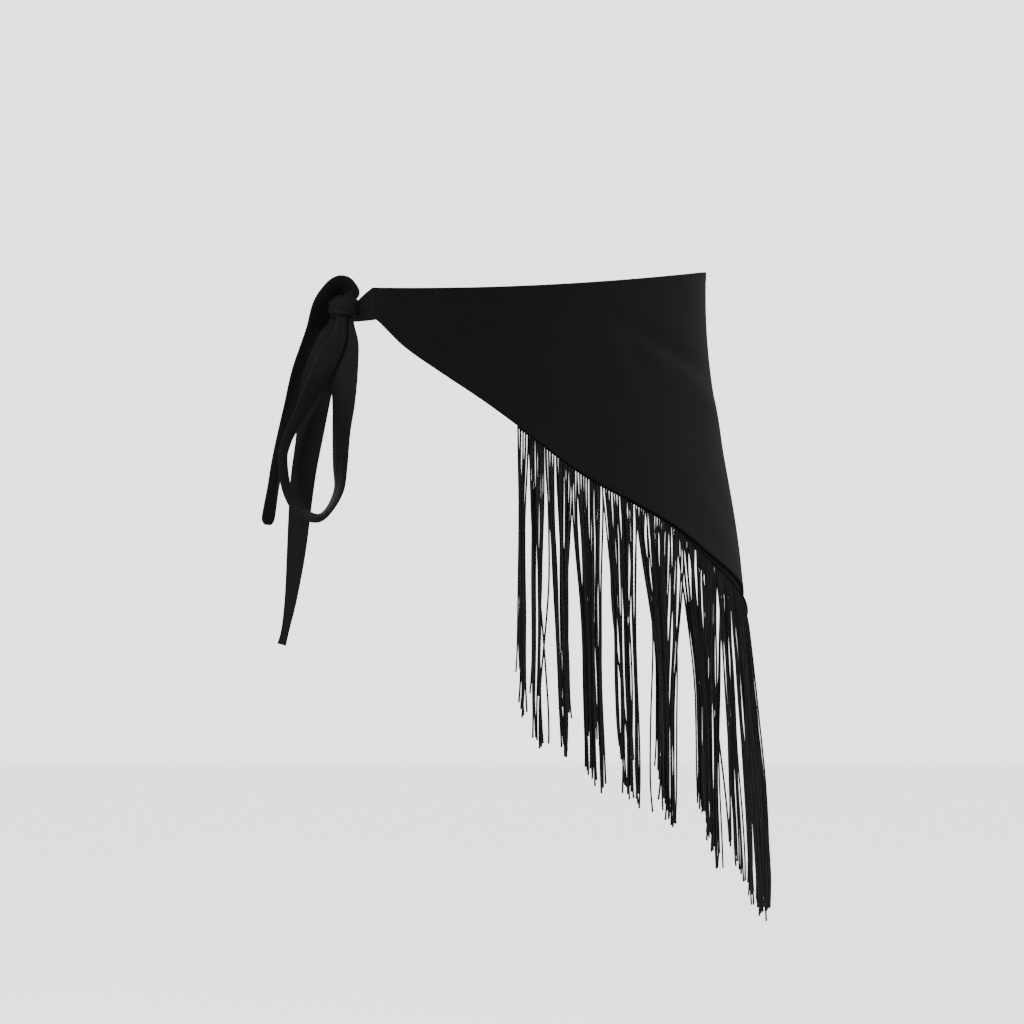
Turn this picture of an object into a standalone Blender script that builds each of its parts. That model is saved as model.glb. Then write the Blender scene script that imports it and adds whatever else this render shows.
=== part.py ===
"""A wrap belt worn round the waist: a triangular cloth panel with a fringed lower edge, tied in a bow.

The belt keeps the hollow form that it has when worn. The wearer faces -Y and +Z is up. The origin is
the middle of the waist opening, level with the top of the cloth at the wearer's left side, which is +X.
A place round the waist is an angle in degrees from the front middle, growing towards +X.
"""

import math
from collections import namedtuple

import bmesh
import bpy
from mathutils import Vector

# The waist and hips that the belt goes round, in metres
WAIST_HALF_WIDTH = 0.1347
WAIST_HALF_DEPTH = 0.106
HIP_SWELL = 0.028
SWELL_START = 0.020
SWELL_LENGTH = 0.240
SKIRT_LEAN = 0.105

# The height of the belt's top edge, which dips at the front: mean, side tilt, front dip and saddle
TOP_MEAN = -0.0083
TOP_SIDE_TILT = 0.0056
TOP_FRONT_DIP = -0.0070
TOP_SADDLE = -0.0027

# The panel, a blunt triangle whose long side goes round the waist
FRONT_END = -53.0
APEX_ANGLE = 91.5
BACK_END = 230.0
PANEL_THICKNESS = 0.0016
PANEL_COLUMNS = 76
PANEL_ROWS = 10
SEAM_GAP = 0.0003
CREASE_ANGLE = 50.0
TAPE_GAP = 0.0008

CutRow = namedtuple("CutRow", "share height")
# Height of the cut at even shares of the way from a tie to the apex
PANEL_CUT = (
    CutRow(0.0, 0.0210),
    CutRow(0.1, 0.0425),
    CutRow(0.2, 0.0610),
    CutRow(0.3, 0.0820),
    CutRow(0.4, 0.1070),
    CutRow(0.5, 0.1340),
    CutRow(0.6, 0.1560),
    CutRow(0.7, 0.1780),
    CutRow(0.8, 0.2030),
    CutRow(0.9, 0.2240),
    CutRow(1.0, 0.2430),
)

FoldRow = namedtuple("FoldRow", "from_angle from_z to_angle to_z half_width depth")
# Soft folds in the cloth, as straight runs on the panel; a negative depth is a trough
PANEL_FOLDS = (
    FoldRow(30.0, -0.036, 92.0, -0.083, 0.0090, -0.0030),
    FoldRow(38.0, -0.070, 98.0, -0.122, 0.0160, 0.0022),
    FoldRow(18.0, -0.026, 40.0, -0.110, 0.0180, 0.0010),
    FoldRow(164.0, -0.034, 112.0, -0.084, 0.0140, -0.0024),
    FoldRow(170.0, -0.070, 108.0, -0.126, 0.0160, 0.0020),
    FoldRow(196.0, -0.040, 182.0, -0.100, 0.0160, 0.0014),
)

# The fringe: strands cut from a tape that is sewn inside the lower edge
TAPE_SEWN = 0.0065
TAPE_THICKNESS = 0.0012
TAPE_SHOWS = 0.0014
APEX_TAPE_SHOWS = 0.0130
APEX_TAPE_SPREAD = 30.0
APEX_TAPE_FLARE = 0.0040
APEX_TAPE_CURVE = 1.5
FRONT_FRINGE_START = -1.5
BACK_FRINGE_START = 181.5
FRINGE_APEX_GAP = 0.4
FRONT_STRANDS = 76
BACK_STRANDS = 66
STRAND_STEPS = 4
STRAND_LENGTH = 0.208
STRAND_ROOT_WIDTH = 0.0013
STRAND_TIP_WIDTH = 0.0010
STRAND_SWAY = 0.0012
STRAND_UNEVEN = 0.0040
STRAND_PHASE_STEP = 2.4
STRAND_LENGTH_PHASE = 3.7
LOCK_CURVE = 1.4

ClumpRow = namedtuple("ClumpRow", "until pull drop")
# Locks that the strands fall into: the share of the fringe where each ends, how far its tips
# draw together, and how much lower they hang
FRONT_CLUMPS = (
    ClumpRow(0.034, 0.30, -0.011),
    ClumpRow(0.083, 0.46, -0.003),
    ClumpRow(0.145, 0.44, 0.000),
    ClumpRow(0.205, 0.40, -0.002),
    ClumpRow(0.242, 0.46, 0.002),
    ClumpRow(0.325, 0.42, 0.001),
    ClumpRow(0.441, 0.48, 0.000),
    ClumpRow(0.476, 0.10, -0.012),
    ClumpRow(0.596, 0.46, 0.002),
    ClumpRow(0.640, 0.20, 0.003),
    ClumpRow(0.820, 0.44, 0.013),
    ClumpRow(1.000, 0.36, 0.004),
)
BACK_CLUMPS = (
    ClumpRow(0.045, 0.30, 0.004),
    ClumpRow(0.108, 0.46, 0.008),
    ClumpRow(0.190, 0.44, 0.012),
    ClumpRow(0.265, 0.40, 0.008),
    ClumpRow(0.312, 0.46, 0.010),
    ClumpRow(0.420, 0.42, 0.012),
    ClumpRow(0.558, 0.48, 0.010),
    ClumpRow(0.600, 0.10, 0.002),
    ClumpRow(0.744, 0.46, 0.008),
    ClumpRow(0.784, 0.20, 0.004),
    ClumpRow(0.930, 0.44, 0.006),
    ClumpRow(1.000, 0.30, 0.002),
)

# The knot and the bands that leave it
KNOT_CENTRE = Vector((-0.1290, -0.0490, -0.0305))
KNOT_HALF = Vector((0.0088, 0.0074, 0.0086))
KNOT_SEGMENTS = 24
KNOT_RINGS = 14
KNOT_WRAP_HALF = 0.42
KNOT_WRAP_RISE = 0.10
KNOT_WRAP_SLANT = 0.45
KNOT_WRAP_SHARPNESS = 14.0
KNOT_SQUARENESS = 0.72
BAND_THICKNESS = 0.0013
BAND_ACROSS = 2
TIE_LIFT = 0.0020

TieRow = namedtuple("TieRow", "node start_angle knot_angle knot_width knot_height gather_rate steps")
# The bands from the panel's ends into the knot; a higher rate keeps the width for longer
TIES = (
    TieRow("tie_front", FRONT_END, -63.4, 0.0110, -0.0332, 1.0, 8),
    TieRow("tie_back", BACK_END - 360.0, -67.5, 0.0100, -0.0335, 0.55, 28),
)

BandRow = namedtuple("BandRow", "x y z width turn")
# Sections of each hanging band in millimetres: its middle, its width, and how far its face is
# turned away from the front, in degrees
BOW_LOOP = (
    BandRow(-127.0, -51.0, -32.5, 8.0, 8.0),
    BandRow(-127.2, -56.0, -42.0, 11.0, 8.0),
    BandRow(-127.2, -62.0, -56.0, 18.0, 8.0),
    BandRow(-128.2, -66.0, -72.0, 20.0, 10.0),
    BandRow(-129.0, -69.0, -100.0, 20.0, 34.0),
    BandRow(-130.4, -70.0, -120.0, 20.0, 48.0),
    BandRow(-131.2, -71.0, -144.5, 20.0, 57.0),
    BandRow(-132.2, -72.0, -161.0, 20.0, 67.0),
    BandRow(-138.6, -73.0, -174.8, 20.0, 73.0),
    BandRow(-146.0, -73.5, -181.6, 20.0, 74.0),
    BandRow(-154.7, -73.5, -179.8, 20.0, 74.0),
    BandRow(-163.2, -73.5, -172.4, 20.0, 74.0),
    BandRow(-169.4, -73.5, -159.0, 20.0, 76.0),
    BandRow(-171.6, -73.5, -140.0, 20.0, 77.0),
    BandRow(-169.8, -73.5, -129.5, 20.0, 76.0),
    BandRow(-165.7, -73.5, -119.0, 20.0, 74.0),
    BandRow(-158.0, -73.5, -104.5, 20.0, 68.0),
    BandRow(-149.8, -74.0, -88.5, 19.0, 54.0),
    BandRow(-141.2, -73.0, -71.0, 17.0, 32.0),
    BandRow(-134.0, -68.5, -55.5, 13.0, 18.0),
    BandRow(-131.2, -61.5, -43.5, 9.0, 10.0),
    BandRow(-130.5, -55.0, -35.0, 8.0, 8.0),
)
SHORT_TAIL = (
    BandRow(-126.6, -48.0, -25.5, 9.0, -70.0),
    BandRow(-121.0, -46.6, -19.4, 12.0, -72.0),
    BandRow(-124.0, -45.6, -13.7, 16.0, -69.0),
    BandRow(-131.0, -44.8, -11.4, 18.5, -62.0),
    BandRow(-137.2, -44.5, -15.3, 19.5, -56.0),
    BandRow(-142.4, -43.0, -23.0, 20.0, -50.0),
    BandRow(-145.9, -42.0, -31.0, 20.5, -47.0),
    BandRow(-149.7, -41.0, -45.0, 20.5, -48.0),
    BandRow(-155.3, -40.0, -60.6, 20.5, -52.0),
    BandRow(-162.4, -40.5, -80.0, 19.5, -56.0),
    BandRow(-168.1, -41.5, -101.0, 18.5, -60.0),
    BandRow(-173.7, -42.5, -124.0, 17.2, -62.0),
    BandRow(-178.2, -43.5, -145.0, 15.6, -62.0),
    BandRow(-181.4, -44.5, -162.3, 14.4, -60.0),
    BandRow(-185.9, -45.5, -187.0, 9.5, -50.0),
)
LONG_TAIL = (
    BandRow(-132.5, -47.0, -33.0, 11.0, 4.0),
    BandRow(-134.6, -50.0, -43.0, 14.0, 6.0),
    BandRow(-139.4, -54.5, -54.5, 19.0, 8.0),
    BandRow(-144.8, -59.0, -72.0, 22.5, 6.0),
    BandRow(-149.9, -59.5, -94.0, 23.5, 8.0),
    BandRow(-154.0, -57.5, -123.0, 20.8, 16.0),
    BandRow(-158.2, -55.5, -148.0, 19.0, 14.0),
    BandRow(-160.8, -53.5, -171.0, 17.4, 14.0),
    BandRow(-164.0, -52.5, -207.0, 14.0, 12.0),
    BandRow(-167.6, -52.5, -238.5, 9.6, 12.0),
    BandRow(-171.6, -53.0, -262.0, 6.4, 14.0),
    BandRow(-174.4, -53.5, -273.5, 5.0, 14.0),
)
LOOP_STEPS = 66
SHORT_TAIL_STEPS = 44
LONG_TAIL_STEPS = 40
BAND_RUN_STEP = 0.01

# Surface finishes: linear colour, roughness and metallic value
CLOTH_BLACK = (0.010, 0.010, 0.010, 1.0)
BAND_BLACK = (0.007, 0.007, 0.008, 1.0)
FRINGE_BLACK = (0.006, 0.005, 0.005, 1.0)


def clear_scene():
    """Removes every object of the scene that the script starts in."""
    for obj in list(bpy.data.objects):
        bpy.data.objects.remove(obj, do_unlink=True)


def new_collection(name):
    """Returns a new collection under the scene's own one."""
    collection = bpy.data.collections.new(name)
    bpy.context.scene.collection.children.link(collection)
    return collection


def cloth_material(name, colour, roughness):
    """Returns a plain woven finish."""
    material = bpy.data.materials.new(name)
    material.use_nodes = True
    shader = material.node_tree.nodes["Principled BSDF"]
    shader.inputs["Base Color"].default_value = colour
    shader.inputs["Roughness"].default_value = roughness
    shader.inputs["Metallic"].default_value = 0.0
    return material


def between(rows, place):
    """Returns the row at a place in a table, from 0 at its first row to 1 at its last, on a smooth curve."""
    last = len(rows) - 1
    spot = min(max(place, 0.0), 1.0) * last
    first = min(int(spot), last - 1)
    t = spot - first
    before, here = rows[max(first - 1, 0)], rows[first]
    there, after = rows[first + 1], rows[min(first + 2, last)]
    blended = [
        0.5 * (2 * b + (c - a) * t + (2 * a - 5 * b + 4 * c - d) * t**2 + (3 * b - a - 3 * c + d) * t**3)
        for a, b, c, d in zip(before, here, there, after)
    ]
    return type(here)(*blended)


def swell(z):
    """Returns how far the hips under the belt stand out past the waist at a height."""
    share = min(max((-z - SWELL_START) / SWELL_LENGTH, 0.0), 1.0)
    return HIP_SWELL * (1.0 - math.cos(math.pi * share)) / 2.0


def top_height(angle):
    """Returns the height of the belt's top edge at an angle."""
    turn = math.radians(angle)
    return (
        TOP_MEAN
        + TOP_SIDE_TILT * math.sin(turn)
        + TOP_FRONT_DIP * math.cos(turn)
        + TOP_SADDLE * math.cos(2.0 * turn)
    )


def fold_offset(angle, z):
    """Returns how far the soft folds push the cloth out at a place."""
    total = 0.0
    for fold in PANEL_FOLDS:
        along = (angle - fold.from_angle) / (fold.to_angle - fold.from_angle)
        middle_z = fold.from_z + (fold.to_z - fold.from_z) * along
        across = (z - middle_z) / fold.half_width
        if 0.0 < along < 1.0:
            total += fold.depth * math.sin(math.pi * along) ** 2 * math.exp(-(across**2))
    return total


def outward_at(angle, z):
    """Returns the level direction that points away from the wearer at a place."""
    turn = math.radians(angle)
    half_width = WAIST_HALF_WIDTH + swell(z)
    half_depth = WAIST_HALF_DEPTH + swell(z)
    return Vector((half_depth * math.sin(turn), -half_width * math.cos(turn), 0.0)).normalized()


def belt_point(angle, z, outward=0.0):
    """Returns a point of the cloth's middle surface, moved outward by a distance."""
    turn = math.radians(angle)
    half_width = WAIST_HALF_WIDTH + swell(z)
    half_depth = WAIST_HALF_DEPTH + swell(z)
    base = Vector((half_width * math.sin(turn), -half_depth * math.cos(turn), z))
    return base + outward_at(angle, z) * (outward + fold_offset(angle, z))


def waist_arc(start, end, steps=180):
    """Returns the length round the waist between two angles."""
    total = 0.0
    for step in range(steps):
        turn = math.radians(start + (end - start) * (step + 0.5) / steps)
        speed = math.hypot(WAIST_HALF_WIDTH * math.cos(turn), WAIST_HALF_DEPTH * math.sin(turn))
        total += speed * math.radians(abs(end - start)) / steps
    return total


FRONT_ARC = waist_arc(FRONT_END, APEX_ANGLE)
BACK_ARC = waist_arc(APEX_ANGLE, BACK_END)


def panel_height(angle):
    """Returns the height of the cut cloth at an angle: each side of the apex has the same cut."""
    whole_arc = FRONT_ARC if angle < APEX_ANGLE else BACK_ARC
    return between(PANEL_CUT, 1.0 - waist_arc(angle, APEX_ANGLE) / whole_arc).height


def hem_height(angle):
    """Returns the height of the panel's lower edge at an angle."""
    return top_height(angle) - panel_height(angle)


def link_new_object(name, mesh, collection, material):
    """Returns a new object that holds a mesh, with its material."""
    obj = bpy.data.objects.new(name, mesh)
    obj.data.materials.append(material)
    collection.objects.link(obj)
    return obj


def surface_from_grid(name, columns, rows, place, thickness, collection, material):
    """Returns a cloth wall: a flat grid whose points move to place(along, across), given thickness."""
    mesh = bpy.data.meshes.new(name)
    sheet = bmesh.new()
    bmesh.ops.create_grid(sheet, x_segments=columns, y_segments=rows, size=0.5)
    for vert in sheet.verts:
        vert.co = place(vert.co.x + 0.5, vert.co.y + 0.5)
    sheet.to_mesh(mesh)
    sheet.free()
    obj = link_new_object(name, mesh, collection, material)
    wall = obj.modifiers.new("Wall", "SOLIDIFY")
    wall.thickness = thickness
    wall.offset = 0.0
    wall.use_even_offset = True
    mesh.shade_smooth()
    mesh.set_sharp_from_angle(angle=math.radians(CREASE_ANGLE))
    return obj


def make_panel(collection, material):
    """Makes the triangular panel, from its front tie round the wearer's left side to its back tie."""

    def place(along, across):
        angle = FRONT_END + (BACK_END - FRONT_END) * along
        z = hem_height(angle) + panel_height(angle) * across
        return belt_point(angle, z)

    return surface_from_grid(
        "panel", PANEL_COLUMNS, PANEL_ROWS, place, PANEL_THICKNESS, collection, material
    )


def tape_edge(angle):
    """Returns the height of the fringe tape's lower edge, which shows most at the apex."""
    near_apex = math.exp(-(((angle - APEX_ANGLE) / APEX_TAPE_SPREAD) ** 2))
    return hem_height(angle) - TAPE_SHOWS - (APEX_TAPE_SHOWS - TAPE_SHOWS) * near_apex


def tape_depth(angle, z):
    """Returns how far the middle of the tape lies from the cloth's, inside it and flared below the hem."""
    below = max(hem_height(angle) - z, 0.0) / APEX_TAPE_SHOWS
    return APEX_TAPE_FLARE * below**APEX_TAPE_CURVE - (PANEL_THICKNESS + TAPE_THICKNESS) / 2.0 - TAPE_GAP


def lock_of(share, clumps):
    """Returns the lock that a strand falls into, and the share of the fringe where its middle is."""
    start = 0.0
    for clump in clumps:
        if share <= clump.until:
            return clump, (start + clump.until) / 2.0
        start = clump.until
    return clumps[-1], start


def strand_centre(angle, middle_angle, lock, phase, down):
    """Returns a point of a strand's middle line, from 0 at the tape to 1 at its tip."""
    uneven = STRAND_UNEVEN * math.sin(STRAND_LENGTH_PHASE * phase)
    drop = (STRAND_LENGTH + lock.drop + uneven) * down
    drawn = angle + (middle_angle - angle) * lock.pull * down**LOCK_CURVE
    root_z = tape_edge(angle)
    sway = STRAND_SWAY * math.sin(math.pi * down) * math.sin(phase)
    level = belt_point(drawn, root_z, tape_depth(angle, root_z) + SKIRT_LEAN * drop + sway)
    return Vector((level.x, level.y, root_z - drop))


def make_fringe(name, start, end, strands, clumps, collection, material):
    """Makes one run of fringe: a tape inside the hem, with strands grown out of its lower edge."""
    cells = 2 * strands - 1
    tape = bmesh.new()
    bmesh.ops.create_grid(tape, x_segments=cells, y_segments=2, size=0.5)
    sheet = bmesh.ops.extrude_face_region(tape, geom=tape.faces[:])["geom"]
    for vert in (item for item in sheet if isinstance(item, bmesh.types.BMVert)):
        vert.co.z = 1.0
    bmesh.ops.recalc_face_normals(tape, faces=tape.faces[:])

    roots = []
    for face in tape.faces:
        middle = face.calc_center_median()
        cell = round((middle.x + 0.5) * cells - 0.5)
        if face.normal.y < -0.5 and middle.y < -0.4 and cell % 2 == 0:
            corners = [(vert.co.x + 0.5 - (cell + 0.5) / cells, vert.co.z) for vert in face.verts]
            roots.append((cell / (cells - 1), face, corners))

    for vert in tape.verts:
        angle = start + (end - start) * (vert.co.x + 0.5)
        upper = hem_height(angle) + TAPE_SEWN
        z = upper + (tape_edge(angle) - upper) * (0.5 - vert.co.y)
        vert.co = belt_point(angle, z, tape_depth(angle, z) + TAPE_THICKNESS * (vert.co.z - 0.5))

    for share, face, corners in sorted(roots, key=lambda root: root[0]):
        angle = start + (end - start) * share
        lock, middle_share = lock_of(share, clumps)
        middle_angle = start + (end - start) * middle_share
        phase = STRAND_PHASE_STEP * share * strands
        outward = outward_at(angle, hem_height(angle))
        sideways = Vector((0.0, 0.0, 1.0)).cross(outward)
        facing = 1.0 if end > start else -1.0
        for step in range(1, STRAND_STEPS + 1):
            down = step / STRAND_STEPS
            middle = strand_centre(angle, middle_angle, lock, phase, down)
            face = bmesh.ops.extrude_discrete_faces(tape, faces=[face])["faces"][0]
            half_width = (STRAND_ROOT_WIDTH + (STRAND_TIP_WIDTH - STRAND_ROOT_WIDTH) * down) / 2.0
            for vert, (along, out) in zip(face.verts, corners):
                side = math.copysign(half_width, along) * facing
                vert.co = middle + sideways * side + outward * (out - 0.5) * 2.0 * half_width

    bmesh.ops.recalc_face_normals(tape, faces=tape.faces[:])
    mesh = bpy.data.meshes.new(name)
    tape.to_mesh(mesh)
    tape.free()
    return link_new_object(name, mesh, collection, material)


def knot_shape(point, growth=0.0):
    """Returns where a point of a unit ball goes on the knot, a firm lump with a slanted wrap round it."""
    boxy = [math.copysign(abs(value) ** KNOT_SQUARENESS, value) for value in point]
    slant = point.z + KNOT_WRAP_SLANT * point.x
    past_edge = abs(slant) - KNOT_WRAP_HALF
    on_wrap = 1.0 / (1.0 + math.exp(past_edge * KNOT_WRAP_SHARPNESS))
    rise = 1.0 + KNOT_WRAP_RISE * on_wrap
    half = [size * rise + growth for size in KNOT_HALF]
    return KNOT_CENTRE + Vector([share * size for share, size in zip(boxy, half)])


def make_knot(name, collection, material, growth=0.0):
    """Makes the knot, or with growth the clear space round it."""
    mesh = bpy.data.meshes.new(name)
    ball = bmesh.new()
    bmesh.ops.create_uvsphere(ball, u_segments=KNOT_SEGMENTS, v_segments=KNOT_RINGS, radius=1.0)
    for vert in ball.verts:
        vert.co = knot_shape(vert.co.normalized(), growth)
    ball.to_mesh(mesh)
    ball.free()
    mesh.shade_smooth()
    return link_new_object(name, mesh, collection, material)


def cut_clear_of(obj, cutter):
    """Cuts a band back to the knot that it enters."""
    cut = obj.modifiers.new("Clear of the knot", "BOOLEAN")
    cut.operation = "DIFFERENCE"
    cut.object = cutter


def make_band(name, rows, steps, collection, material, cutter):
    """Makes a hanging band of cloth through the sections of a table."""

    def centre(along):
        row = between(rows, along)
        return Vector((row.x, row.y, row.z)) / 1000.0

    def place(along, across):
        row = between(rows, along)
        run = centre(along + BAND_RUN_STEP) - centre(along - BAND_RUN_STEP)
        level = Vector((run.z, 0.0, -run.x)).normalized()
        turn = math.radians(row.turn)
        reach = (across - 0.5) * row.width / 1000.0
        return centre(along) + (level * math.cos(turn) + Vector((0.0, math.sin(turn), 0.0))) * reach

    band = surface_from_grid(name, steps, BAND_ACROSS, place, BAND_THICKNESS, collection, material)
    cut_clear_of(band, cutter)
    return band


def make_tie(tie, collection, material, cutter):
    """Makes the band that runs from an end of the panel round the waist and gathers into the knot."""
    start_height = PANEL_CUT[0].height
    way = 1.0 if tie.knot_angle > tie.start_angle else -1.0
    start_angle = tie.start_angle + way * math.degrees(SEAM_GAP / WAIST_HALF_DEPTH)

    def place(along, across):
        angle = start_angle + (tie.knot_angle - start_angle) * along
        ease = along**tie.gather_rate
        height = start_height + (tie.knot_width - start_height) * ease
        start_middle = top_height(angle) - start_height / 2.0
        middle = start_middle + (tie.knot_height - start_middle) * ease
        z = middle + (across - 0.5) * height
        return belt_point(angle, z, TIE_LIFT * ease)

    band = surface_from_grid(tie.node, tie.steps, BAND_ACROSS, place, BAND_THICKNESS, collection, material)
    cut_clear_of(band, cutter)
    return band


def main():
    """Builds the belt and the cutter that its bands share."""
    clear_scene()
    belt = new_collection("fringe_belt")
    cutters = new_collection("cutters")
    cloth = cloth_material("matt_black_cloth", CLOTH_BLACK, 0.85)
    band_cloth = cloth_material("black_band_cloth", BAND_BLACK, 0.70)
    cord = cloth_material("black_fringe_cord", FRINGE_BLACK, 0.45)

    make_panel(belt, cloth)
    front_end, back_end = APEX_ANGLE - FRINGE_APEX_GAP, APEX_ANGLE + FRINGE_APEX_GAP
    make_fringe("fringe_front", FRONT_FRINGE_START, front_end, FRONT_STRANDS, FRONT_CLUMPS, belt, cord)
    make_fringe("fringe_back", BACK_FRINGE_START, back_end, BACK_STRANDS, BACK_CLUMPS, belt, cord)

    make_knot("knot", belt, band_cloth)
    clearance = make_knot("knot_clearance", cutters, band_cloth, SEAM_GAP)
    clearance.hide_render = True
    clearance.display_type = "WIRE"

    for tie in TIES:
        make_tie(tie, belt, band_cloth, clearance)
    make_band("bow_loop", BOW_LOOP, LOOP_STEPS, belt, band_cloth, clearance)
    make_band("tail_short", SHORT_TAIL, SHORT_TAIL_STEPS, belt, band_cloth, clearance)
    make_band("tail_long", LONG_TAIL, LONG_TAIL_STEPS, belt, band_cloth, clearance)


main()
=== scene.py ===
"""The looks of a worn fringe belt: a draped cloth panel, a tied bow and a fringe of fine cords.

All sizes are metres and angles are degrees. The wearer faces -Y and +X is the wearer's left side. A place
round the waist is an angle from the front middle that grows towards +X.
"""

import logging
import math
import random
from dataclasses import dataclass, field
from enum import Enum
from typing import Callable, NamedTuple, Sequence, TypeVar

import bmesh
import bpy
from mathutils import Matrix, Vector, noise


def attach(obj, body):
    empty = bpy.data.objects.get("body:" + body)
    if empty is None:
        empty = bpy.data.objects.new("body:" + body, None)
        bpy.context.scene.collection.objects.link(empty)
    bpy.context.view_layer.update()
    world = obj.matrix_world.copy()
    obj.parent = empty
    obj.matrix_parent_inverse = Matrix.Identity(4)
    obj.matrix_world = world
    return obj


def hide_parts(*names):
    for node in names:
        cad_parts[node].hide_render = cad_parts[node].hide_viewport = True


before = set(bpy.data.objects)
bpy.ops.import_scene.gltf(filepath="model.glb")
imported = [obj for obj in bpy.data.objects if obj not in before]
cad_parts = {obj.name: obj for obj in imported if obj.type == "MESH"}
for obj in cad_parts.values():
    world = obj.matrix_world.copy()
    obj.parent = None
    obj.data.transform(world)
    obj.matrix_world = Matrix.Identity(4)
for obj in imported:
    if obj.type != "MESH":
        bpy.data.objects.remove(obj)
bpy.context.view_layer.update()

LOG = logging.getLogger("fringe_belt")
MILLIMETRES = 1000.0
# The noise is read at places that are drawn from this span.
NOISE_SPAN = 100.0
# A cloth edge is rounded by this share of its thickness, where it turns by more than this angle.
EDGE_ROUNDING = 0.42
EDGE_ANGLE = 55.0
# Faces that meet at less than this angle are shaded as one.
SMOOTH_ANGLE = 60.0

Place = Callable[[float, float], Vector]
Tone = tuple[float, float, float]


class Slot(Enum):
    """The material slots of the record."""

    BELT_CLOTH = "belt_cloth"
    BAND_CLOTH = "band_cloth"
    FRINGE_CORD = "fringe_cord"


class Crease(NamedTuple):
    """A soft fold of the panel, as a straight run on it; a negative depth is a trough."""

    from_angle: float
    from_z: float
    to_angle: float
    to_z: float
    half_width: float
    depth: float


class CutRow(NamedTuple):
    """How tall the panel's cut is at a share of the way from a tie to the low point."""

    share: float
    height: float


class Lock(NamedTuple):
    """A lock of fringe: the share where it ends, how far it gathers, how much lower it hangs, and its lean.

    The lean is how many degrees its tips stand away from its roots; less than 0 is towards the run's start.
    """

    until: float
    gather: float
    drop: float
    lean: float


class Wisp(NamedTuple):
    """A few cords that hang together: their middle, the phase of their wave and their drift."""

    middle: float
    phase: float
    drift: float


class BandRow(NamedTuple):
    """A section of a hanging band in millimetres, with how far its face turns from the front in degrees."""

    x: float
    y: float
    z: float
    width: float
    turn: float


class Softbox(NamedTuple):
    """A square soft light: its place, what it points at, its side, its power in watts and its colour."""

    name: str
    spot: tuple[float, float, float]
    target: tuple[float, float, float]
    size: float
    power: float
    tone: Tone


Row = TypeVar("Row", CutRow, BandRow)


def row_between(rows: Sequence[Row], place: float) -> Row:
    """Blends a table's rows on a smooth curve.

    Args:
        rows: The table, whose rows are all of one named tuple.
        place: Where to read it, from 0 at the first row to 1 at the last.

    Returns:
        A row of the same kind.
    """
    last = len(rows) - 1
    spot = min(max(place, 0.0), 1.0) * last
    first = min(int(spot), last - 1)
    t = spot - first
    before, here = rows[max(first - 1, 0)], rows[first]
    there, after = rows[first + 1], rows[min(first + 2, last)]
    blended = [
        0.5 * (2 * b + (c - a) * t + (2 * a - 5 * b + 4 * c - d) * t**2 + (3 * b - a - 3 * c + d) * t**3)
        for a, b, c, d in zip(before, here, there, after)
    ]
    return type(here)(*blended)


def ease(value: float) -> float:
    """Returns a soft step from 0 to 1."""
    t = min(max(value, 0.0), 1.0)
    return t * t * (3.0 - 2.0 * t)


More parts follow.
